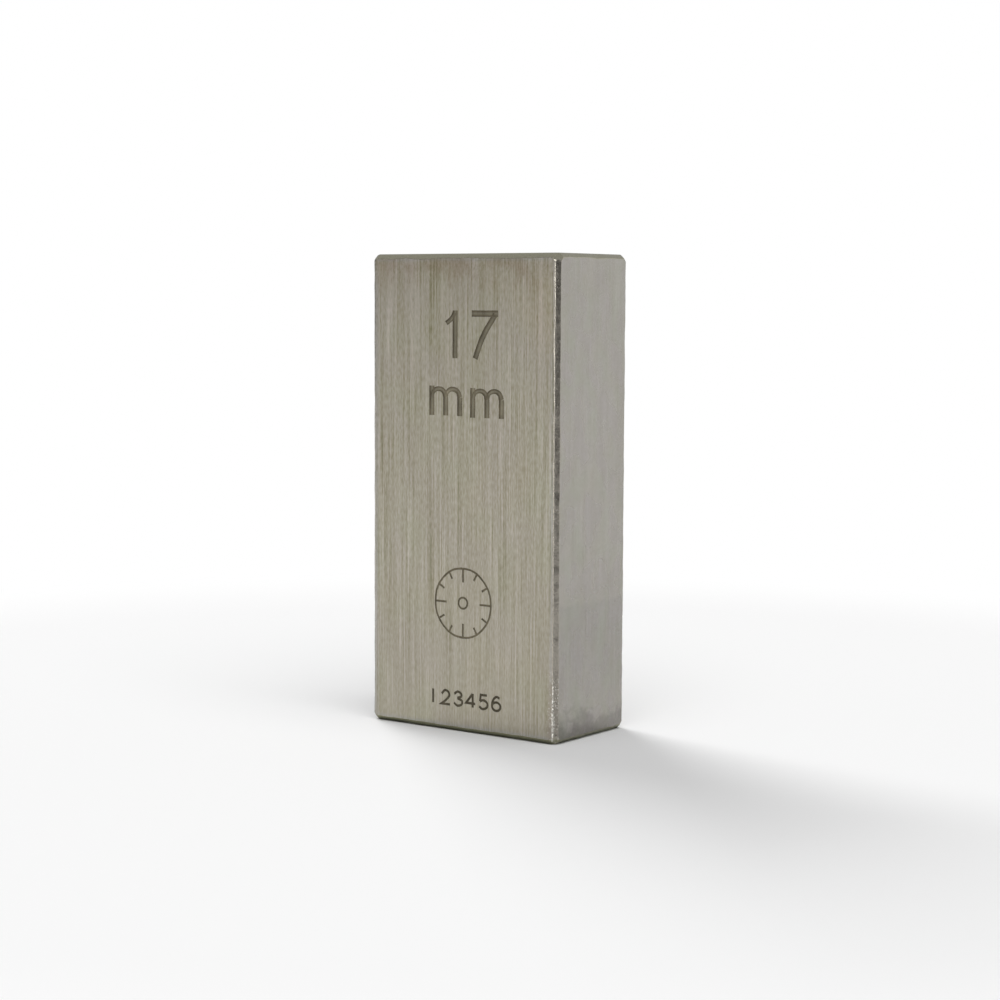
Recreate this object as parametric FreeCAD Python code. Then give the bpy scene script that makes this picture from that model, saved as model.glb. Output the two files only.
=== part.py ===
import FreeCAD, Part
import os

Vector = FreeCAD.Vector

# A rectangular gauge block, standing on one end: a single piece of hardened steel, ground on its sides and
# ends, and lapped on the two faces that it measures between.
# X runs from one gauging face to the other, Y through the thin way of the section, and Z up. The broad side
# that carries the size marks faces -Y. The origin is the middle of the bottom end.

# Driving dimensions, in millimetres.
gauging_length = 17.0    # between the two gauging faces: the size that the block stands for
section_height = 35.0    # long side of the section, the same on every block of this series
nominal_depth = 9.0      # short side of the section, as the series names it
depth_allowance = 0.18   # how far under its nominal size the short side is ground
edge_break = 0.28        # leg of the 45 degree chamfer along every edge
corner_break = 0.85      # how far each corner's flat reaches along the three edges that meet there

section_depth = nominal_depth - depth_allowance
half_length = gauging_length / 2
half_depth = section_depth / 2


def ground_bar():
    """The plain section, carried from one gauging face to the other."""
    corners = [
        Vector(-half_length, -half_depth, 0),
        Vector(-half_length, half_depth, 0),
        Vector(-half_length, half_depth, section_height),
        Vector(-half_length, -half_depth, section_height),
    ]
    section = Part.Face(Part.makePolygon(corners + corners[:1]))
    return section.extrude(Vector(gauging_length, 0, 0))


def corner_waste(side_x, side_y, side_z):
    """What is stoned off one corner: all that lies outside a flat across its three edges.

    side_x, side_y and side_z are 1 or -1, and say which of the eight corners it is.
    """
    corner = Vector(side_x * half_length, side_y * half_depth, (1 + side_z) / 2 * section_height)
    along_edges = [Vector(-side_x, 0, 0), Vector(0, -side_y, 0), Vector(0, 0, -side_z)]
    reach = [corner + way * corner_break for way in along_edges]
    flat = Part.Face(Part.makePolygon(reach + reach[:1]))
    return flat.extrude(Vector(side_x, side_y, side_z) * corner_break)


def gauge_block():
    """The finished block: every edge chamfered, then every corner broken."""
    bar = ground_bar()
    chamfered = bar.makeChamfer(edge_break, bar.Edges)
    waste = [corner_waste(x, y, z) for x in (-1, 1) for y in (-1, 1) for z in (-1, 1)]
    return chamfered.cut(waste).Solids[0]


block = gauge_block()
print("gauge_block: valid", block.isValid(), "faces", len(block.Faces), "volume", round(block.Volume, 1), "mm3")

os.makedirs("parts", exist_ok=True)
block.exportStep("parts/gauge_block.step")
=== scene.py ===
import math
import bmesh
import bpy
from mathutils import Matrix, Vector, noise


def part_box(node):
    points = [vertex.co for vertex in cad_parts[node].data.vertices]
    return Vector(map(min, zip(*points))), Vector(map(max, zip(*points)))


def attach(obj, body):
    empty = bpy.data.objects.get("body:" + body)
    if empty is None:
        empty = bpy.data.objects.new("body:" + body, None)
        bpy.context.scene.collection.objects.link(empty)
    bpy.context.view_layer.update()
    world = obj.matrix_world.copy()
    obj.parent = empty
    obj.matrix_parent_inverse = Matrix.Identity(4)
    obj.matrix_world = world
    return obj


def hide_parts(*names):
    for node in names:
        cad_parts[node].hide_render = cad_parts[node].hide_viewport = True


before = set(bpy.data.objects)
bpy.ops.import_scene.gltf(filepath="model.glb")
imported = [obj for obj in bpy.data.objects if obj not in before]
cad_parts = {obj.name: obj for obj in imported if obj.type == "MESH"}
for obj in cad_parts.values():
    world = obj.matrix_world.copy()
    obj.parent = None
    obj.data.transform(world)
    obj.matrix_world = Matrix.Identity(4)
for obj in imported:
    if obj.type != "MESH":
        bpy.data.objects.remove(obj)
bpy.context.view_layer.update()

mm = 0.001
scene = bpy.context.scene
low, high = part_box("gauge_block")
size = high - low
middle = (low + high) / 2
print("frame loaded, block", [round(side / mm, 2) for side in size], "mm")


# small helpers for node trees
def addNode(tree, kind, **settings):
    # a setting named in_... is an input socket's value, the rest are the node's own properties
    node = tree.nodes.new(kind)
    for name, value in settings.items():
        if name.startswith("in_"):
            node.inputs[name[3:].replace("_", " ")].default_value = value
        else:
            setattr(node, name, value)
    return node


def wire(tree, source, target):
    tree.links.new(source, target)


def feed(tree, socket, value):
    # a socket takes either a plain value or another node's output
    if isinstance(value, bpy.types.NodeSocket):
        wire(tree, value, socket)
    else:
        socket.default_value = value


def mathOf(tree, operation, first, second=0.5, third=0.5, clamp=False):
    node = addNode(tree, "ShaderNodeMath", operation=operation, use_clamp=clamp)
    for socket, value in zip(node.inputs, (first, second, third)):
        feed(tree, socket, value)
    return node.outputs[0]


def vectorOf(tree, operation, first, second=(0, 0, 0)):
    node = addNode(tree, "ShaderNodeVectorMath", operation=operation)
    feed(tree, node.inputs[0], first)
    feed(tree, node.inputs[1], second)
    return node.outputs["Vector"]


def lengthOf(tree, vector):
    node = addNode(tree, "ShaderNodeVectorMath", operation="LENGTH")
    wire(tree, vector, node.inputs[0])
    return node.outputs["Value"]


def partsOf(tree, vector):
    # a vector's X, Y and Z, each a socket
    node = addNode(tree, "ShaderNodeSeparateXYZ")
    wire(tree, vector, node.inputs[0])
    return node.outputs


def mixColour(tree, factor, first, second, blend="MIX"):
    node = addNode(tree, "ShaderNodeMix", data_type="RGBA", blend_type=blend)
    feed(tree, node.inputs[0], factor)
    feed(tree, node.inputs[6], first)
    feed(tree, node.inputs[7], second)
    return node.outputs[2]


def mixNumber(tree, factor, first, second):
    node = addNode(tree, "ShaderNodeMix", data_type="FLOAT")
    feed(tree, node.inputs[0], factor)
    feed(tree, node.inputs[2], first)
    feed(tree, node.inputs[3], second)
    return node.outputs[0]


def remap(tree, value, fromLow, fromHigh, toLow=0.0, toHigh=1.0):
    # a smooth step from toLow to toHigh; where fromLow is the greater, it runs the other way
    node = addNode(tree, "ShaderNodeMapRange", interpolation_type="SMOOTHSTEP")
    for socket, number in zip(node.inputs[:5], (value, fromLow, fromHigh, toLow, toHigh)):
        feed(tree, socket, number)
    return node.outputs[0]


def streaks(tree, place, width, length, detail=2.0, roughness=0.5):
    # noise drawn out along Z: features about width across and length along, centred on 0
    across = mathOf(tree, "DIVIDE", 1.0, width)
    along = mathOf(tree, "DIVIDE", 1.0, length)
    stretch = addNode(tree, "ShaderNodeCombineXYZ")
    for socket, value in zip(stretch.inputs, (across, across, along)):
        wire(tree, value, socket)
    grain = addNode(tree, "ShaderNodeTexNoise", in_Scale=1.0, in_Detail=detail, in_Roughness=roughness)
    wire(tree, vectorOf(tree, "MULTIPLY", place, stretch.outputs[0]), grain.inputs["Vector"])
    return mathOf(tree, "SUBTRACT", grain.outputs[0], 0.5)


def newGroup(name, inputs, outputs):
    # inputs are (name, kind, value), and outputs (name, kind)
    # returns the tree, the sockets that bring the inputs in, and those that take the outputs
    tree = bpy.data.node_groups.new(name, "ShaderNodeTree")
    for socketName, kind, value in inputs:
        socket = tree.interface.new_socket(socketName, in_out="INPUT", socket_type="NodeSocket" + kind)
        if value is not None:
            socket.default_value = value
    for socketName, kind in outputs:
        tree.interface.new_socket(socketName, in_out="OUTPUT", socket_type="NodeSocket" + kind)
    start = tree.nodes.new("NodeGroupInput")
    end = tree.nodes.new("NodeGroupOutput")
    return tree, start.outputs, end.inputs


def placeGroup(tree, group, place, **values):
    # puts a finished group into a material; values are named like its inputs, with _ for a space
    node = addNode(tree, "ShaderNodeGroup", node_tree=group)
    wire(tree, place, node.inputs["Place"])
    for name, value in values.items():
        feed(tree, node.inputs[name.replace("_", " ")], value)
    return node.outputs


# surface effects shared by the finishes; Place is in millimetres, and the grain runs along Z
grindLines = dict(               # width and length of each kind of line, as shares of the group's own
    hair=(1.0, 1.0),
    line=(2.4, 1.3),
    fleck=(1.3, 0.05),
    patch=(13.0, 0.5),           # patches where the lines are strong or weak, between the two strengths
    streak=(6.0, 1.8),
    band=(16.0, 3.0),
    patchSwing=0.16,
    patchStrength=(0.45, 1.7),
)


def makeGrindGrain():
    # lines of four widths, strong in some patches and weak in others, and short flecks between them
    group, given, out = newGroup("grindGrain", [
        ("Place", "Vector", None),
        ("Line Width", "Float", 0.1),
        ("Line Length", "Float", 8.0),
        ("Hairlines", "Float", 0.5),
        ("Lines", "Float", 0.5),
        ("Streaks", "Float", 0.5),
        ("Bands", "Float", 0.5),
        ("Flecks", "Float", 0.5),
    ], [("Tone", "Float"), ("Height", "Float")])

    def drawn(kind):
        width = mathOf(group, "MULTIPLY", given["Line Width"], grindLines[kind][0])
        length = mathOf(group, "MULTIPLY", given["Line Length"], grindLines[kind][1])
        return streaks(group, given["Place"], width, length, 1.0, 0.5)

    hair, line, fleck = drawn("hair"), drawn("line"), drawn("fleck")
    tone = mathOf(group, "MULTIPLY", hair, given["Hairlines"])
    tone = mathOf(group, "MULTIPLY_ADD", line, given["Lines"], tone)
    swing = grindLines["patchSwing"]
    patchy = remap(group, drawn("patch"), -swing, swing, *grindLines["patchStrength"])
    tone = mathOf(group, "MULTIPLY", tone, patchy)
    tone = mathOf(group, "MULTIPLY_ADD", fleck, given["Flecks"], tone)
    tone = mathOf(group, "MULTIPLY_ADD", drawn("streak"), given["Streaks"], tone)
    tone = mathOf(group, "MULTIPLY_ADD", drawn("band"), given["Bands"], tone)
    wire(group, tone, out["Tone"])
    wire(group, mathOf(group, "ADD", hair, line), out["Height"])
    return group


def makeTintDrift():
    # two slow drifts from 0 to 1, for the faint greenish and mauve patches of ground steel
    swing = 0.19        # how far the noise swings to either side for a full tint
    group, given, out = newGroup("tintDrift", [
        ("Place", "Vector", None),
        ("Patch Width", "Float", 1.5),
        ("Patch Length", "Float", 4.0),
    ], [("First", "Float"), ("Second", "Float")])
    # each reads the noise from its own far-off place, so that they are unrelated
    for name, shift in (("First", (3.1, 7.7, 1.3)), ("Second", (21.9, 4.2, 33.0))):
        moved = vectorOf(group, "ADD", given["Place"], shift)
        drift = streaks(group, moved, given["Patch Width"], given["Patch Length"], 1.5, 0.5)
        wire(group, remap(group, drift, -swing, swing), out[name])
    return group


def makeSpecks():
    # small spots, such as the painted glints of bright dings: Share is the part of the cells, Spacing
    # apart, that hold one
    group, given, out = newGroup("specks", [
        ("Place", "Vector", None),
        ("Spacing", "Float", 0.2),
        ("Radius", "Float", 0.1),
        ("Share", "Float", 0.3),
    ], [("Mask", "Float")])
    cells = addNode(group, "ShaderNodeTexVoronoi", in_Scale=1.0, in_Randomness=1.0)
    wire(group, vectorOf(group, "DIVIDE", given["Place"], given["Spacing"]), cells.inputs["Vector"])
    reach = mathOf(group, "DIVIDE", given["Radius"], given["Spacing"])
    spot = remap(group, cells.outputs["Distance"], reach, 0.0)
    pick = addNode(group, "ShaderNodeSeparateColor")
    wire(group, cells.outputs["Color"], pick.inputs[0])
    chosen = mathOf(group, "LESS_THAN", pick.outputs[0], given["Share"])
    wire(group, mathOf(group, "MULTIPLY", spot, chosen), out["Mask"])
    return group


frontEdge = dict(                # the edge between the marked side and the right-hand gauging face
    knockReach=1.0,              # how far from the edge its foot is knocked, and up to what height
    knockHeight=5.4,
    worst=0.2,                   # nearer to the edge than this, the knocks are at their full
    fading=0.7,                  # they fade out from this share of their height
    raggedness=5.0,
    ridgeInset=0.33,             # painted highlight: the glinting line that they have left beside the chamfer
    ridgeWidth=(0.14, 0.04),     # its half width, from the outside in
)


def makeKnocks():
    # 1 where the front edge has been knocked, near its foot, fading away from it
    group, given, out = newGroup("knocks", [
        ("Place", "Vector", None),
        ("Reach", "Float", 0.6),
        ("Height", "Float", 5.0),
    ], [("Mask", "Float"), ("Ridge", "Float")])
    edge = (high.x / mm, low.y / mm, 0.0)
    away = vectorOf(group, "MULTIPLY", vectorOf(group, "SUBTRACT", given["Place"], edge), (1, 1, 0))
    beside = remap(group, lengthOf(group, away), given["Reach"], frontEdge["worst"])
    parts = partsOf(group, given["Place"])
    ridge = mathOf(group, "SUBTRACT", parts["X"], high.x / mm - frontEdge["ridgeInset"])
    ridge = remap(group, mathOf(group, "ABSOLUTE", ridge), *frontEdge["ridgeWidth"])
    ragged = streaks(group, given["Place"], 0.5, 0.8)
    up = mathOf(group, "MULTIPLY_ADD", ragged, frontEdge["raggedness"], parts["Z"])
    fading = mathOf(group, "MULTIPLY", given["Height"], frontEdge["fading"])
    knocked = mathOf(group, "MULTIPLY", beside, remap(group, up, given["Height"], fading))
    wire(group, knocked, out["Mask"])
    wire(group, mathOf(group, "MULTIPLY", knocked, ridge), out["Ridge"])
    return group


def makeRim():
    # 1 where a face runs into a chamfer, 0 further in; Inner and Outer are measured from the sharp edge
    group, given, out = newGroup("rim", [
        ("Place", "Vector", None),
        ("Inner", "Float", 0.6),
        ("Outer", "Float", 0.25),
    ], [("Mask", "Float")])
    fromMiddle = vectorOf(group, "SUBTRACT", given["Place"], tuple(middle / mm))
    parts = partsOf(group, vectorOf(group, "ABSOLUTE", fromMiddle))
    inset = [mathOf(group, "SUBTRACT", half, reach) for half, reach in zip(size / mm / 2, parts)]
    # the nearest face is the one that the point lies on, so the second nearest gives the way to the edge
    smallest = mathOf(group, "MINIMUM", mathOf(group, "MINIMUM", inset[0], inset[1]), inset[2])
    largest = mathOf(group, "MAXIMUM", mathOf(group, "MAXIMUM", inset[0], inset[1]), inset[2])
    total = mathOf(group, "ADD", mathOf(group, "ADD", inset[0], inset[1]), inset[2])
    second = mathOf(group, "SUBTRACT", mathOf(group, "SUBTRACT", total, smallest), largest)
    wire(group, remap(group, second, given["Inner"], given["Outer"]), out["Mask"])
    return group


grindGrain = makeGrindGrain()
tintDrift = makeTintDrift()
specks = makeSpecks()
knocks = makeKnocks()
rim = makeRim()
print("surface groups made")


# the block's finishes

def newFinish(name):
    # a material with its Principled shader, and its place on the block in millimetres
    material = bpy.data.materials.new(name)
    material.use_nodes = True
    tree = material.node_tree
    shader = tree.nodes["Principled BSDF"]
    coords = addNode(tree, "ShaderNodeTexCoord")
    toMillimetres = addNode(tree, "ShaderNodeMapping")
    toMillimetres.inputs["Scale"].default_value = (1 / mm,) * 3
    wire(tree, coords.outputs["Object"], toMillimetres.inputs["Vector"])
    return material, tree, shader, toMillimetres.outputs[0]


def turned(tree, place, axis, degrees):
    # turns the pattern so that the grain, which runs along Z, follows another way
    turn = addNode(tree, "ShaderNodeVectorRotate", rotation_type=axis + "_AXIS")
    turn.inputs["Angle"].default_value = math.radians(degrees)
    wire(tree, place, turn.inputs["Vector"])
    return turn.outputs[0]


def driftOf(tree, place, finish):
    width, length = finish["drift"]
    return placeGroup(tree, tintDrift, place, Patch_Width=width, Patch_Length=length)


def tinted(tree, drift, finish):
    # the finish's colour, drifting slowly to its two tints
    colour = mixColour(tree, drift["First"], finish["colour"], finish["greenish"])
    return mixColour(tree, drift["Second"], colour, finish["mauve"])


def grainOf(tree, place, finish):
    return placeGroup(tree, grindGrain, place, Line_Width=finish["lineWidth"],
                      Line_Length=finish["lineLength"], Hairlines=finish["hairlines"],
                      Lines=finish["lines"], Streaks=finish["streaks"], Bands=finish["bands"],
                      Flecks=finish["flecks"])


def knocksOf(tree, place):
    return placeGroup(tree, knocks, place, Reach=frontEdge["knockReach"], Height=frontEdge["knockHeight"])


def specksOf(tree, place, spots):
    spacing, radius, share = spots
    return placeGroup(tree, specks, place, Spacing=spacing, Radius=radius, Share=share)["Mask"]


def toned(tree, colour, tone):
    # lighter where tone is over 1, and darker and a little yellower where it is under
    blueSwing = 1.35        # how much further than red and green the blue swings
    parts = addNode(tree, "ShaderNodeCombineXYZ")
    wire(tree, tone, parts.inputs[0])
    wire(tree, tone, parts.inputs[1])
    wire(tree, mathOf(tree, "MULTIPLY_ADD", tone, blueSwing, 1 - blueSwing), parts.inputs[2])
    return mixColour(tree, 1.0, colour, parts.outputs[0], "MULTIPLY")


def dyed(tree, mask, colour, dye):
    # the colour multiplied by a dye where the mask is 1
    return mixColour(tree, mask, colour, mixColour(tree, 1.0, colour, dye, "MULTIPLY"))


def scuffs(tree, place, finish):
    # a patch of short light scratches that lean across the grain, with a few strays round it
    leaning = turned(tree, place, "Y", finish["scuffLean"])
    scratch = remap(tree, streaks(tree, leaning, *finish["scuffSize"], 1.0), *finish["scuffStep"])
    fromPatch = lengthOf(tree, vectorOf(tree, "SUBTRACT", place, finish["scuffsAt"]))
    near = remap(tree, fromPatch, *finish["scuffReach"], finish["strays"], 1.0)
    return mathOf(tree, "MULTIPLY", scratch, near)


def metal(tree, shader, roughness, metallic=1.0):
    feed(tree, shader.inputs["Roughness"], roughness)
    shader.inputs["Metallic"].default_value = metallic


def bumped(tree, shader, height, strength, depth):
    # fine relief; depth is in millimetres
    bump = addNode(tree, "ShaderNodeBump", in_Strength=strength, in_Distance=depth * mm)
    wire(tree, height, bump.inputs["Height"])
    wire(tree, bump.outputs[0], shader.inputs["Normal"])


def groundSteel(name, along="Z"):
    finish = dict(
        colour=(0.391, 0.360, 0.284, 1),
        greenish=(0.381, 0.362, 0.281, 1),
        mauve=(0.390, 0.3595, 0.296, 1),
        drift=(3.0, 4.5),                # width and length of the tinted patches
        lineWidth=0.085,
        lineLength=9.0,
        hairlines=0.66,
        lines=0.46,
        streaks=0.17,
        bands=0.10,
        flecks=0.62,
        quiet=(2.0, 20.0, 0.72, 1.08),   # heights between which the grain grows, and its strength at each
        scuffLean=-24.0,                 # degrees across the grain
        scuffSize=(0.075, 0.8),          # width and length
        scuffStep=(0.06, 0.17),          # where in the noise a scuff begins, and where it is full
        scuffsAt=(-0.6, 0.0, 15.2),
        scuffReach=(5.2, 1.5),           # distances at which the patch begins and is full
        scuffLight=0.15,
        strays=0.12,                     # share of the scuffs that lie outside the patch
        stain=(0.83, 0.775, 0.735, 1),
        stainDepth=3.2,                  # how far under the top the stain begins, and is full
        stainFull=0.7,
        stainRuns=(0.3, 1.6),            # width and length of the streaks that it runs down in
        stainRunDepth=6.0,
        stainFlecks=(0.13, 0.2),
        stainFleckDepth=0.6,
        stainPatch=2.2,
        stainPatchStep=(-0.12, 0.12, 0.25, 1.0),
        # painted highlight: lighter near the top of the front edge
        edgeHighlight=(1.06, 1.03, 1.0, 1),
        edgeHighlightAt=(8.5, -4.4, 30.8),
        edgeHighlightReach=(4.2, 0.8),
        # painted highlight: a cool sheen on the faces beside every chamfer
        rim=(0.96, 0.99, 1.09, 1),
        rimReach=(0.75, 0.36),
        knocked=(0.86, 0.81, 0.77, 1),
        # painted glints: bright spots on the dings of the knocked foot
        dingGlint=(0.92, 0.89, 0.82, 1),
        dingGlints=(0.10, 0.08, 0.18),        # spacing, radius, and the share of places that hold one
        roughness=0.36,
        grainShine=-0.15,                # the lighter lines are smoother
        bump=0.25,
        bumpDepth=0.004,
        anisotropy=0.5,
    )
    material, tree, shader, place = newFinish(name)
    grainPlace = place if along == "Z" else turned(tree, place, "Y", 90)
    height = partsOf(tree, place)["Z"]
    top = high.z / mm
    grain = grainOf(tree, grainPlace, finish)
    colour = tinted(tree, driftOf(tree, grainPlace, finish), finish)
    strength = remap(tree, height, *finish["quiet"])
    tone = mathOf(tree, "MULTIPLY_ADD", grain["Tone"], strength, 1.0)
    tone = mathOf(tree, "MULTIPLY_ADD", scuffs(tree, grainPlace, finish), finish["scuffLight"], tone)
    # handling has stained the top end, in streaks that run down from it, and flecked it
    runs = streaks(tree, place, *finish["stainRuns"], 3.0, 0.6)
    runs = mathOf(tree, "MULTIPLY_ADD", runs, finish["stainRunDepth"], height)
    stained = remap(tree, runs, top - finish["stainDepth"], top - finish["stainFull"])
    flecked = mathOf(tree, "MULTIPLY", streaks(tree, place, *finish["stainFlecks"]), stained)
    tone = mathOf(tree, "MULTIPLY_ADD", flecked, finish["stainFleckDepth"], tone)
    colour = toned(tree, colour, tone)
    patchy = streaks(tree, place, finish["stainPatch"], finish["stainPatch"])
    patchy = remap(tree, patchy, *finish["stainPatchStep"])
    colour = dyed(tree, mathOf(tree, "MULTIPLY", stained, patchy), colour, finish["stain"])
    # painted highlights, lighter near the top of the front edge and cooler along every edge, and knocked at
    # the foot, with painted glints on the dings there
    fromHighlight = lengthOf(tree, vectorOf(tree, "SUBTRACT", place, finish["edgeHighlightAt"]))
    colour = dyed(tree, remap(tree, fromHighlight, *finish["edgeHighlightReach"]), colour, finish["edgeHighlight"])
    # painted highlight: the cool sheen beside every chamfer
    inner, outer = finish["rimReach"]
    rimSheen = placeGroup(tree, rim, place, Inner=inner, Outer=outer)["Mask"]
    colour = dyed(tree, rimSheen, colour, finish["rim"])
    knocked = knocksOf(tree, place)["Mask"]
    colour = dyed(tree, knocked, colour, finish["knocked"])
    # painted glints on the dings of the knocked foot
    dingGlints = mathOf(tree, "MULTIPLY", specksOf(tree, place, finish["dingGlints"]), knocked)
    colour = mixColour(tree, dingGlints, colour, finish["dingGlint"])
    wire(tree, colour, shader.inputs["Base Color"])
    roughness = mathOf(tree, "MULTIPLY_ADD", grain["Tone"], finish["grainShine"], finish["roughness"])
    metal(tree, shader, roughness)
    bumped(tree, shader, grain["Height"], finish["bump"], finish["bumpDepth"])
    shader.inputs["Anisotropic"].default_value = finish["anisotropy"]
    return material


def lappedSteel():
    finish = dict(
        colour=(0.344, 0.328, 0.290, 1),
        greenish=(0.335, 0.331, 0.286, 1),
        mauve=(0.345, 0.325, 0.302, 1),
        drift=(1.6, 2.4),
        lineWidth=0.12,
        lineLength=3.5,
        hairlines=0.07,
        lines=0.09,
        streaks=0.10,
        bands=0.05,
        flecks=0.12,
        cloud=0.13,                      # strength of the clouding, and the width and length of the clouds
        cloudSize=(1.3, 1.5),
        fine=0.13,                       # the same for the fine mottle
        fineSize=(0.14, 0.16),
        step=(0.935, 0.94, 0.95, 1),     # painted reflection: a line at this height where the mirrored wall meets the mirrored floor, and the darker mirrored floor under it
        reflectedHorizonAt=10.1,
        reflectedHorizonSoftness=0.4,
        reflectedHorizonRaggedness=0.9,
        reflectedHorizonFading=(2.5, 6.0, 0.35, 1.0),
        foot=(0.72, 0.715, 0.72, 1),     # painted reflection of the shadowed floor, darker near the foot and creeping up from it in clouds
        footShadeAt=(2.3, 0.2),
        footShadeSize=(1.6, 1.4),
        footShadeCreep=7.0,
        roughness=0.22,
        haze=0.08,
        bump=0.15,
        bumpDepth=0.002,
    )
    material, tree, shader, place = newFinish("lapped steel")
    height = partsOf(tree, place)["Z"]
    grain = grainOf(tree, place, finish)
    drift = driftOf(tree, place, finish)
    tone = mathOf(tree, "ADD", grain["Tone"], 1.0)
    clouds = streaks(tree, place, *finish["cloudSize"], 3.0, 0.6)
    tone = mathOf(tree, "MULTIPLY_ADD", clouds, finish["cloud"], tone)
    mottle = streaks(tree, place, *finish["fineSize"], 1.0)
    tone = mathOf(tree, "MULTIPLY_ADD", mottle, finish["fine"], tone)
    colour = toned(tree, tinted(tree, drift, finish), tone)
    # painted reflection: the mirrored floor darker under a ragged line, fading out towards the foot
    ragged = streaks(tree, place, 0.5, 0.5, 3.0)
    ragged = mathOf(tree, "MULTIPLY_ADD", ragged, finish["reflectedHorizonRaggedness"], height)
    under = remap(tree, ragged, finish["reflectedHorizonAt"], finish["reflectedHorizonAt"] - finish["reflectedHorizonSoftness"])
    under = mathOf(tree, "MULTIPLY", under, remap(tree, height, *finish["reflectedHorizonFading"]))
    colour = dyed(tree, under, colour, finish["step"])
    # painted reflection of the shadowed floor, creeping up from the foot
    shadeCrept = streaks(tree, place, *finish["footShadeSize"], 4.0, 0.65)
    shadeCrept = mathOf(tree, "MULTIPLY_ADD", shadeCrept, finish["footShadeCreep"], height)
    colour = dyed(tree, remap(tree, shadeCrept, *finish["footShadeAt"]), colour, finish["foot"])
    wire(tree, colour, shader.inputs["Base Color"])
    roughness = mathOf(tree, "MULTIPLY_ADD", drift["Second"], finish["haze"], finish["roughness"])
    metal(tree, shader, roughness)
    bumped(tree, shader, grain["Height"], finish["bump"], finish["bumpDepth"])
    return material


def stonedEdgeSteel():
    # edges broken by hand with a stone: mottled, and dinged where they have been knocked, with painted
    # glints on the dings and along the line beside the chamfer
    finish = dict(
        colour=(0.36, 0.335, 0.29, 1),
        mottleSize=(0.12, 0.18),
        mottle=0.6,
        ends=(0.97, 1.0, 0.88, 1),       # the edges round the two ends
        endsAt=(0.6, 0.3),               # how far from the ends that begins, and is full
        foot=(0.66, 0.68, 0.57, 1),      # the shaded edges at the foot, under these heights
        footShadeAt=(0.45, 0.3),
        # painted glints on the dings
        dingGlint=(0.97, 0.95, 0.89, 1),
        ridgeGlints=(0.13, 0.13, 0.75),   # spacing, radius, and the share of places that hold one
        dingGlints=(0.09, 0.07, 0.15),
        roughness=0.24,
        mottleRoughness=0.2,
        bump=0.5,
        bumpDepth=0.02,
        knockBump=1.6,                   # how much more relief the knocked foot has
    )
    material, tree, shader, place = newFinish("stoned edge steel")
    height = partsOf(tree, place)["Z"]
    mottle = streaks(tree, place, *finish["mottleSize"], 3.0, 0.6)
    shade = mathOf(tree, "MULTIPLY_ADD", mottle, finish["mottle"], 1.0)
    colour = mixColour(tree, 1.0, finish["colour"], shade, "MULTIPLY")
    fromMiddle = mathOf(tree, "ABSOLUTE", mathOf(tree, "SUBTRACT", height, middle.z / mm))
    atEnds = remap(tree, fromMiddle, *(size.z / mm / 2 - reach for reach in finish["endsAt"]))
    colour = dyed(tree, atEnds, colour, finish["ends"])
    colour = dyed(tree, remap(tree, height, *finish["footShadeAt"]), colour, finish["foot"])
    knocked = knocksOf(tree, place)
    # painted glints: bright spots on the knocked foot and along the line beside the chamfer
    dingGlints = mathOf(tree, "MULTIPLY", specksOf(tree, place, finish["dingGlints"]), knocked["Mask"])
    onRidge = specksOf(tree, place, finish["ridgeGlints"])
    dingGlints = mathOf(tree, "MULTIPLY_ADD", onRidge, knocked["Ridge"], dingGlints, clamp=True)
    wire(tree, mixColour(tree, dingGlints, colour, finish["dingGlint"]), shader.inputs["Base Color"])
    roughness = mathOf(tree, "MULTIPLY_ADD", mottle, finish["mottleRoughness"], finish["roughness"])
    metal(tree, shader, roughness)
    relief = mathOf(tree, "MULTIPLY_ADD", knocked["Mask"], finish["knockBump"], 1.0)
    bumped(tree, shader, mathOf(tree, "MULTIPLY", mottle, relief), finish["bump"], finish["bumpDepth"])
    return material


def etchedSteel():
    finish = dict(
        edge=(0.160, 0.138, 0.094, 1),   # the deep sides of a stroke, and its shallow middle
        floor=(0.247, 0.224, 0.162, 1),
        floorDepth=(0.038, 0.024),       # the depths between which one becomes the other
        floorRaggedness=0.012,
        mottleSize=(0.1, 0.2),
        mottle=0.8,
        unevenSize=(0.7, 1.1),
        uneven=1.1,
        lowMarks=(5.2, 3.6, 1.0, 0.62),  # heights between which the marks darken, and the shade at each
        highMarks=(25.8, 26.8, 1.0, 0.84),
        roughness=0.55,
        metallic=0.7,
    )
    material, tree, shader, place = newFinish("etched mark steel")
    parts = partsOf(tree, place)
    depth = mathOf(tree, "SUBTRACT", parts["Y"], low.y / mm)
    mottle = streaks(tree, place, *finish["mottleSize"], 2.0, 0.6)
    depth = mathOf(tree, "MULTIPLY_ADD", mottle, finish["floorRaggedness"], depth)
    colour = mixColour(tree, remap(tree, depth, *finish["floorDepth"]), finish["edge"], finish["floor"])
    shade = mathOf(tree, "MULTIPLY_ADD", streaks(tree, place, *finish["unevenSize"]), finish["uneven"], 1.0)
    shade = mathOf(tree, "MULTIPLY_ADD", mottle, finish["mottle"], shade)
    for darker in (finish["lowMarks"], finish["highMarks"]):
        shade = mathOf(tree, "MULTIPLY", shade, remap(tree, parts["Z"], *darker))
    wire(tree, mixColour(tree, 1.0, colour, shade, "MULTIPLY"), shader.inputs["Base Color"])
    metal(tree, shader, finish["roughness"], finish["metallic"])
    return material


finishes = [groundSteel("ground side steel"), groundSteel("ground end steel", "X"), lappedSteel(),
            stonedEdgeSteel(), etchedSteel()]
sideFinish, endFinish, lappedFinish, edgeFinish, markFinish = range(len(finishes))
print("finishes made")


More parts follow.
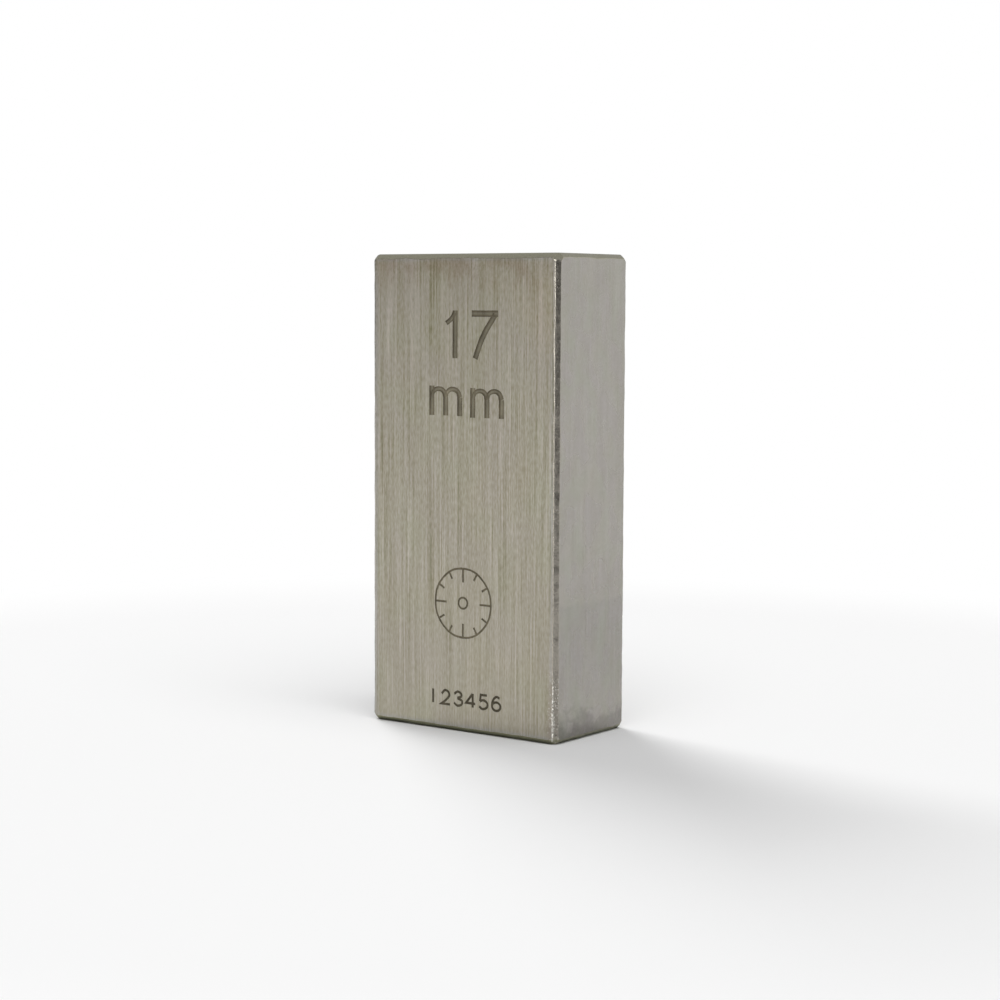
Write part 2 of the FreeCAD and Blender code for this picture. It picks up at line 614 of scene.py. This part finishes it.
# the block itself
blockShape = dict(
    chamfer=0.28 * mm,      # leg of the chamfer along each edge
    cornerFlat=0.76 * mm,   # reach of each corner's flat, from the sharp corner
    cornerRound=0.14 * mm,  # how far the rounding of each corner's flat runs
    lappedRound=0.03 * mm,  # rounding where a chamfer meets a lapped face, and where it meets the others
    groundRound=0.06 * mm,
    waverStep=0.12 * mm,    # spacing of the points that let the hand-stoned edges waver
    waver=0.15,             # how much the chamfer's width varies, as a share
    waverLength=1.7,        # and over how many millimetres
    seed=17,
    longEdge=5 * mm,        # edges longer than this run along the block's sides
    sharpAngle=0.5,         # edges that turn by more than this many radians are rounded
    sideArea=20 * mm * mm,  # flat faces larger than this are the block's six sides
)
squareOn = 0.9999           # the part of a unit vector along an axis, past which it lies along it


def isFlatFace(face):
    return max(abs(part) for part in face.normal) > squareOn


def isLappedFace(face):
    return abs(face.normal.x) > squareOn


def isLongEdge(edge, axis):
    run = edge.verts[0].co - edge.verts[1].co
    return run.length > blockShape["longEdge"] and abs(run.normalized()[axis]) > squareOn


def makeBlock():
    shape = blockShape
    bm = bmesh.new()
    bmesh.ops.create_cube(bm, size=1.0)
    bmesh.ops.scale(bm, vec=size, verts=bm.verts)
    bmesh.ops.translate(bm, vec=middle, verts=bm.verts)
    bmesh.ops.bevel(bm, geom=bm.edges[:], offset=shape["chamfer"], offset_type="OFFSET", segments=1,
                    profile=0.5, affect="EDGES", material=-1)
    # the corner flats: cut each corner off square to its diagonal, and close the cut
    for corner in ((x, y, z) for x in (-1, 1) for y in (-1, 1) for z in (-1, 1)):
        outward = Vector(corner)
        tip = middle + Vector(side * reach / 2 for side, reach in zip(corner, size))
        onFlat = tip - Vector((corner[0] * shape["cornerFlat"], 0, 0))
        cut = bmesh.ops.bisect_plane(bm, geom=bm.verts[:] + bm.edges[:] + bm.faces[:], dist=1e-9,
                                     plane_co=onFlat, plane_no=outward, clear_outer=True)
        rimEdges = [part for part in cut["geom_cut"] if isinstance(part, bmesh.types.BMEdge)]
        bmesh.ops.edgeloop_fill(bm, edges=rimEdges)
        bmesh.ops.bevel(bm, geom=rimEdges, offset=shape["cornerRound"], offset_type="OFFSET", segments=4,
                        profile=0.5, affect="EDGES", material=-1)
    # points along every long edge let it waver; the six flats are taken out, and closed again after it
    bm.normal_update()
    flats = [face for face in bm.faces if isFlatFace(face)]
    bmesh.ops.delete(bm, geom=flats, context="FACES_ONLY")
    for axis in range(3):
        runs = [edge for edge in bm.edges if isLongEdge(edge, axis)]
        bmesh.ops.subdivide_edges(bm, edges=runs, cuts=round(size[axis] / shape["waverStep"]))
    bmesh.ops.holes_fill(bm, edges=bm.edges, sides=0)
    bmesh.ops.recalc_face_normals(bm, faces=bm.faces)
    # the lapped faces' edges are rounded first, so that the rest are those of the ground faces
    for rounding, isRounded in ((shape["lappedRound"], isLappedFace), (shape["groundRound"], isFlatFace)):
        sharp = [edge for edge in bm.edges if edge.calc_face_angle(0.0) > shape["sharpAngle"]
                 and any(isRounded(face) for face in edge.link_faces)]
        bmesh.ops.bevel(bm, geom=sharp, offset=rounding, offset_type="OFFSET", segments=3,
                        profile=0.5, affect="EDGES", material=-1, clamp_overlap=True)
    waverEdges(bm)
    # each of the six flats takes the finish of its side, and all the rest is stoned edge
    for face in bm.faces:
        face.smooth = not (isFlatFace(face) and face.calc_area() > shape["sideArea"])
        face.material_index = edgeFinish
        if not face.smooth:
            across = max(range(3), key=lambda axis: abs(face.normal[axis]))
            face.material_index = (lappedFinish, sideFinish, endFinish)[across]
    bmesh.ops.recalc_face_normals(bm, faces=bm.faces)
    mesh = bpy.data.meshes.new("gauge_block_steel")
    bm.to_mesh(mesh)
    bm.free()
    for finish in finishes:
        mesh.materials.append(finish)
    block = bpy.data.objects.new("gauge_block_steel", mesh)
    scene.collection.objects.link(block)
    return block


def waverEdges(bm):
    # grows and shrinks each chamfer about the sharp edge that it cuts off, on each side by its own amount
    near = blockShape["cornerFlat"] + blockShape["groundRound"]
    for vert in bm.verts:
        tip = Vector(high[i] if vert.co[i] > middle[i] else low[i] for i in range(3))
        inset = vert.co - tip
        close = [axis for axis in range(3) if abs(inset[axis]) < near]
        if len(close) < 2:
            continue
        onEdge = Vector(tip[i] if i in close else vert.co[i] for i in range(3)) / mm
        for axis in close:
            spot = onEdge / blockShape["waverLength"] + Vector((blockShape["seed"] * (axis + 1),) * 3)
            grow = noise.fractal(spot, 1.0, 2.0, 4)
            vert.co[axis] = tip[axis] + inset[axis] * (1 + blockShape["waver"] * grow)


def meshOf(holder):
    # the object's mesh with its curve or its modifiers worked out
    bpy.context.view_layer.update()
    graph = bpy.context.evaluated_depsgraph_get()
    return bpy.data.meshes.new_from_object(holder.evaluated_get(graph))


block = makeBlock()
print("block made,", len(block.data.polygons), "faces")


# what is etched on the marked side, in millimetres from the middle of the face's foot
marks = dict(
    stand=0.02,              # how far the cutter stands above the face
    bold=0.47,               # stroke widths
    arch=0.36,
    ring=0.16,
    fine=0.19,
    biteSides=0.042,         # a broad stroke is etched deepest along its sides
    biteMiddle=0.024,        # and less down its middle
    biteFine=0.040,          # a fine one is deepest down its middle
    biteFineMiddle=0.044,
    floorHalf=0.46,          # half width of a stroke's floor, as a share of the stroke
    curveSteps=16,
    ragged=0.016,            # how far the etched outline wanders, and over what distance
    raggedStep=0.11,
    raggedSeed=17,           # fixes the wandering, so that it is the same in each run
    drop=0.02,               # all the marks are let down by this
    letterLeft=(-2.79, 0.98),    # first stem and foot of each letter m
    letterFoot=(23.26, 23.19),
    letterPitch=1.29,            # from one stem to the next
    letterHeight=2.15,
    archRise=0.60,
    archDrop=0.03,               # the arches start this far under the stems' tops
    emblemCentre=(0.15, 9.58),
    emblemRadius=2.54,
    emblemTicks=12,
    longTick=0.60,           # where the ticks begin, and the hub's radius, as shares of the ring's
    shortTick=0.78,
    hub=0.16,
    number="123456",         # plain placeholder digits
    numberStart=(-3.02, 1.95),
    numberPitch=1.165,
    numberBox=(0.83, 1.03),  # width and height of a digit's centre lines
)

# single-stroke digits in a box one unit wide and high: each stroke is a list of points
digitStrokes = {
    "1": [[(0.5, 0.0), (0.5, 1.0)]],
    "2": [[(0.06, 0.72), (0.50, 1.0), (0.92, 0.72), (0.70, 0.42),
           (0.03, 0.0, "VECTOR"), (1.0, 0.0, "VECTOR")]],
    "3": [[(0.08, 0.83), (0.48, 1.0), (0.88, 0.77), (0.42, 0.54)],
          [(0.42, 0.54), (0.96, 0.28), (0.48, 0.0), (0.03, 0.18)]],
    "4": [[(0.72, 0.0), (0.72, 1.0)],
          [(0.70, 0.98, "VECTOR"), (0.0, 0.29, "VECTOR"), (1.0, 0.29, "VECTOR")]],
    "5": [[(0.90, 1.0, "VECTOR"), (0.20, 1.0, "VECTOR"), (0.12, 0.53, "VECTOR")],
          [(0.12, 0.53), (0.52, 0.63), (0.95, 0.32), (0.48, 0.0), (0.02, 0.15)]],
    "6": [[(0.86, 0.90), (0.54, 1.0), (0.12, 0.66), (0.05, 0.33)],
          [(0.05, 0.31), (0.50, 0.60), (0.95, 0.30), (0.50, 0.0), "closed"]],
}


def strokeSection(width, sides, middleBite):
    # a stroke's section: open above the face, and cut to one depth along its sides and another in between
    section = bpy.data.curves.new("section", "CURVE")
    section.dimensions = "2D"
    outline = section.splines.new("POLY")
    half, stand = marks["floorHalf"], marks["stand"]
    corners = [(-0.5, stand), (-half, -sides), (0, -middleBite), (half, -sides), (0.5, stand)]
    outline.points.add(len(corners) - 1)
    for point, (across, up) in zip(outline.points, corners):
        point.co = (across * width, up, 0, 1)
    outline.use_cyclic_u = True
    return section


def cutStrokes(width, sides, middleBite, strokes):
    # a mesh of the cutter's passes: the section carried along each centre line
    # its points are (x, z) on the face, and where they differ the kind of handle and the share of the width
    section = strokeSection(width, sides, middleBite)
    sectionHolder = bpy.data.objects.new("section", section)
    curve = bpy.data.curves.new("strokes", "CURVE")
    curve.dimensions = "2D"
    curve.bevel_mode = "OBJECT"
    curve.bevel_object = sectionHolder
    curve.use_fill_caps = True
    for points in strokes:
        spline = curve.splines.new("BEZIER")
        spline.use_cyclic_u = points[-1] == "closed"
        centres = [point for point in points if point != "closed"]
        spline.bezier_points.add(len(centres) - 1)
        spline.resolution_u = marks["curveSteps"]
        for point, centre in zip(spline.bezier_points, centres):
            point.co = (centre[0], centre[1], 0)
            point.handle_left_type = point.handle_right_type = centre[2] if len(centre) > 2 else "AUTO"
            point.radius = centre[3] if len(centre) > 3 else 1.0
    holder = bpy.data.objects.new("strokes", curve)
    for item in (sectionHolder, holder):
        scene.collection.objects.link(item)
    mesh = meshOf(holder)
    for item in (sectionHolder, holder):
        bpy.data.objects.remove(item)
    return mesh


def archStroke(start, crown):
    # half an ellipse from one stem to the next, which swells to a stem's width as it comes down
    swell = marks["bold"] / marks["arch"]
    points = []
    for i in range(5):
        turn = math.pi * i / 4
        across = start + marks["letterPitch"] / 2 * (1 - math.cos(turn))
        up = crown - marks["archRise"] * (1 - math.sin(turn))
        points.append((across, up, "AUTO", swell ** max(0, i / 2 - 1)))
    return points


def sizeStrokes():
    # the size, 17 over mm: (broad strokes, slimmer arches)
    broad = [
        [(-0.655, 27.45), (-0.655, 30.91)],
        [(0.87, 30.70), (3.23, 30.70)],
        [(2.99, 30.66, "VECTOR"), (1.86, 29.0), (1.18, 27.45, "VECTOR")],
    ]
    slim = [[(-1.46, 29.99, "VECTOR"), (-1.0, 30.30), (-0.70, 30.76, "VECTOR")]]
    pitch = marks["letterPitch"]
    for left, foot in zip(marks["letterLeft"], marks["letterFoot"]):
        top = foot + marks["letterHeight"]
        crown = top - marks["arch"] / 2 - marks["archDrop"]
        broad.append([(left, foot), (left, top)])
        for start in (left, left + pitch):
            slim.append(archStroke(start, crown))
            broad.append([(start + pitch, foot), (start + pitch, crown - marks["archRise"])])
    return broad, slim


def emblemStrokes():
    # a plain dial: an unbroken ring with ticks inside, every third one longer, round a small hub
    cx, cz = marks["emblemCentre"]
    reach, count = marks["emblemRadius"], marks["emblemTicks"]

    def onDial(turn, radius):
        return cx + math.sin(turn) * radius, cz + math.cos(turn) * radius

    strokes = [[onDial(math.tau * i / 8, reach) for i in range(8)] + ["closed"]]
    for i in range(count):
        turn = math.tau * i / count
        inner = marks["longTick"] if i % 3 == 0 else marks["shortTick"]
        strokes.append([onDial(turn, reach * inner), onDial(turn, reach)])
    strokes.append([onDial(math.tau * i / 4, reach * marks["hub"]) for i in range(4)] + ["closed"])
    return strokes


def numberStrokes():
    wide, tall = marks["numberBox"]
    start, foot = marks["numberStart"]

    def placed(point, left):
        if point == "closed":
            return point
        return (left + point[0] * wide, foot + point[1] * tall, *point[2:])

    strokes = []
    for place, digit in enumerate(marks["number"]):
        left = start + place * marks["numberPitch"]
        for points in digitStrokes[digit]:
            strokes.append([placed(point, left) for point in points])
    return strokes


def engraveMarks(block):
    broad, slim = sizeStrokes()
    cutter = bmesh.new()
    for width, sides, middleBite, strokes in (
        (marks["bold"], marks["biteSides"], marks["biteMiddle"], broad),
        (marks["arch"], marks["biteSides"], marks["biteMiddle"], slim),
        (marks["ring"], marks["biteFine"], marks["biteFineMiddle"], emblemStrokes()),
        (marks["fine"], marks["biteFine"], marks["biteFineMiddle"], numberStrokes()),
    ):
        passes = cutStrokes(width, sides, middleBite, strokes)
        cutter.from_mesh(passes)
        bpy.data.meshes.remove(passes)
    # the etching wanders a little from the clean outline
    noise.seed_set(marks["raggedSeed"])
    for vert in cutter.verts:
        spot = Vector((vert.co.x, vert.co.y, 0)) / marks["raggedStep"]
        vert.co += noise.noise_vector(spot) * marks["ragged"] * Vector((1, 1, 0))
        vert.co.y -= marks["drop"]
    # stand the drawing up on the marked side, with its upper side outward
    standing = Matrix.Rotation(math.radians(90), 4, "X") @ Matrix.Scale(mm, 4)
    standing = Matrix.Translation((0, low.y, 0)) @ standing
    bmesh.ops.transform(cutter, matrix=standing, verts=cutter.verts)
    bmesh.ops.remove_doubles(cutter, verts=cutter.verts, dist=1e-7)
    bmesh.ops.recalc_face_normals(cutter, faces=cutter.faces)
    for face in cutter.faces:
        face.material_index = markFinish
        face.smooth = False
    mesh = bpy.data.meshes.new("markCutter")
    cutter.to_mesh(mesh)
    cutter.free()
    for finish in finishes:
        mesh.materials.append(finish)
    holder = bpy.data.objects.new("markCutter", mesh)
    scene.collection.objects.link(holder)
    cut = block.modifiers.new("marks", "BOOLEAN")
    cut.object = holder
    cut.solver = "EXACT"
    cut.use_self = True
    engraved = meshOf(block)
    block.modifiers.clear()
    plain = block.data
    block.data = engraved
    bpy.data.meshes.remove(plain)
    bpy.data.objects.remove(holder)
    bpy.data.meshes.remove(mesh)
    engraved.name = block.name


engraveMarks(block)
print("marks engraved,", len(block.data.polygons), "faces")

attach(block, "root")
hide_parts("gauge_block")


# the stage: a pale floor that runs out into a white world, and a tent of soft light round it

studio = dict(
    floorReach=0.095,        # in metres, as the next two
    whiteFrom=0.062,         # further out the floor turns white, so that it has no far edge
    whiteTo=0.092,
    floorColour=(0.93, 0.93, 0.93, 1),
    floorRoughness=0.75,
    floorSheen=0.1,
    fill=0.16,               # even light from all round
    horizon=0.31,            # the tent as the steel mirrors it, from the horizon up
    ceiling=0.62,
    ceilingRise=(-0.02, 0.5),    # between these heights of the view's direction one turns into the other
    under=1.06,              # what lies past the floor's rim
    underFall=(0.0, -0.06),
    lampReach=3.0,           # metres from the block to each lamp
)

# azimuths go from the marked side's outward way towards +X, in degrees as all the angles
# spread is half the angle that a lamp fills, and share its part of the light on the floor
lamps = {
    "window": dict(azimuth=-116.0, elevation=33.0, spread=16.8, share=0.385),
    "overhead": dict(azimuth=51.0, elevation=61.4, spread=31.0, share=0.480),
}

# patches of the tent that differ: where they are, how far they reach, how flat they are, and their level
# a bright wall behind, the dark room before the block, and a small window
tentPatches = (
    dict(azimuth=143.0, elevation=0.0, inner=20.0, outer=50.0, flat=1.0, level=1.02),
    dict(azimuth=53.0, elevation=6.0, inner=12.0, outer=38.0, flat=1.6, level=0.11),
    dict(azimuth=11.0, elevation=13.5, inner=20.0, outer=24.0, flat=1.6, level=4.2),
)


def wayTo(azimuth, elevation=0.0):
    turn, tilt = math.radians(azimuth), math.radians(elevation)
    return Vector((math.sin(turn) * math.cos(tilt), -math.cos(turn) * math.cos(tilt), math.sin(tilt)))


def makeFloor():
    bm = bmesh.new()
    bmesh.ops.create_circle(bm, cap_ends=True, radius=studio["floorReach"], segments=96)
    mesh = bpy.data.meshes.new("floor")
    bm.to_mesh(mesh)
    bm.free()
    floor = bpy.data.objects.new("floor", mesh)
    scene.collection.objects.link(floor)
    material = bpy.data.materials.new("floor paper")
    material.use_nodes = True
    tree = material.node_tree
    shader = tree.nodes["Principled BSDF"]
    shader.inputs["Base Color"].default_value = studio["floorColour"]
    shader.inputs["Roughness"].default_value = studio["floorRoughness"]
    shader.inputs["Specular IOR Level"].default_value = studio["floorSheen"]
    rays = addNode(tree, "ShaderNodeLightPath")
    place = addNode(tree, "ShaderNodeTexCoord").outputs["Object"]
    outward = remap(tree, lengthOf(tree, place), studio["whiteFrom"], studio["whiteTo"])
    fading = addNode(tree, "ShaderNodeMixShader")
    wire(tree, mathOf(tree, "MULTIPLY", outward, rays.outputs["Is Camera Ray"]), fading.inputs[0])
    wire(tree, shader.outputs[0], fading.inputs[1])
    wire(tree, addNode(tree, "ShaderNodeEmission", in_Strength=1.0).outputs[0], fading.inputs[2])
    wire(tree, fading.outputs[0], tree.nodes["Material Output"].inputs["Surface"])
    mesh.materials.append(material)


def makeWorld():
    world = bpy.data.worlds.new("studio")
    scene.world = world
    world.use_nodes = True
    tree = world.node_tree
    tree.nodes.clear()
    way = addNode(tree, "ShaderNodeTexCoord").outputs["Generated"]
    height = partsOf(tree, way)["Z"]
    level = remap(tree, height, *studio["ceilingRise"], studio["horizon"], studio["ceiling"])
    level = mixNumber(tree, remap(tree, height, *studio["underFall"]), level, studio["under"])
    for patch in tentPatches:
        gap = vectorOf(tree, "SUBTRACT", way, tuple(wayTo(patch["azimuth"], patch["elevation"])))
        gap = lengthOf(tree, vectorOf(tree, "MULTIPLY", gap, (1, 1, patch["flat"])))
        chords = [2 * math.sin(math.radians(patch[name]) / 2) for name in ("outer", "inner")]
        level = mixNumber(tree, remap(tree, gap, *chords), level, patch["level"])
    # the steel mirrors the tent, but throws none of it back on the floor
    rays = addNode(tree, "ShaderNodeLightPath")
    glossy, clear = rays.outputs["Is Glossy Ray"], rays.outputs["Is Transmission Ray"]
    mirrored = mathOf(tree, "ADD", glossy, clear, clamp=True)
    direct = mathOf(tree, "LESS_THAN", rays.outputs["Diffuse Depth"], 0.5)
    strength = mixNumber(tree, mathOf(tree, "MULTIPLY", mirrored, direct), studio["fill"], level)
    strength = mixNumber(tree, rays.outputs["Is Camera Ray"], strength, 1.0)
    background = addNode(tree, "ShaderNodeBackground", in_Color=(1, 1, 1, 1))
    wire(tree, strength, background.inputs["Strength"])
    wire(tree, background.outputs[0], addNode(tree, "ShaderNodeOutputWorld").inputs["Surface"])


def makeLamp(name):
    # a round soft lamp that only lights: the camera and the steel don't see it
    lamp = lamps[name]
    data = bpy.data.lights.new(name, "AREA")
    data.shape = "DISK"
    away = wayTo(lamp["azimuth"], lamp["elevation"])
    reach, spread = studio["lampReach"], math.radians(lamp["spread"])
    data.size = 2 * reach * math.tan(spread)
    data.energy = lamp["share"] * (math.pi * reach / math.cos(spread)) ** 2 / away.z
    holder = bpy.data.objects.new(name, data)
    holder.location = away * reach
    holder.rotation_euler = away.to_track_quat("Z", "Y").to_euler()
    holder.visible_camera = holder.visible_glossy = False
    scene.collection.objects.link(holder)


camera = dict(
    azimuth=36.595,          # degrees from the marked side's square-on view, towards the gauging face
    distance=166.50 * mm,    # level distance from the block's upright centre line
    height=31.733 * mm,
    aim=(0.207 * mm, 0.0, 16.835 * mm),
    roll=0.2646,             # degrees
    lens=80.818,             # millimetres, on a sensor 36 mm wide
)


def makeCamera():
    data = bpy.data.cameras.new("camera")
    data.lens = camera["lens"]
    data.sensor_width = 36.0
    data.clip_start, data.clip_end = 0.001, 20.0
    holder = bpy.data.objects.new("camera", data)
    holder.location = wayTo(camera["azimuth"]) * camera["distance"]
    holder.location.z = camera["height"]
    look = (Vector(camera["aim"]) - holder.location).to_track_quat("-Z", "Y")
    roll = Matrix.Rotation(math.radians(camera["roll"]), 4, "Z")
    holder.rotation_euler = (look.to_matrix().to_4x4() @ roll).to_euler()
    scene.collection.objects.link(holder)
    scene.camera = holder


makeFloor()
makeWorld()
for name in lamps:
    makeLamp(name)
makeCamera()
scene.view_settings.view_transform = "Standard"
print("stage, light and camera made")
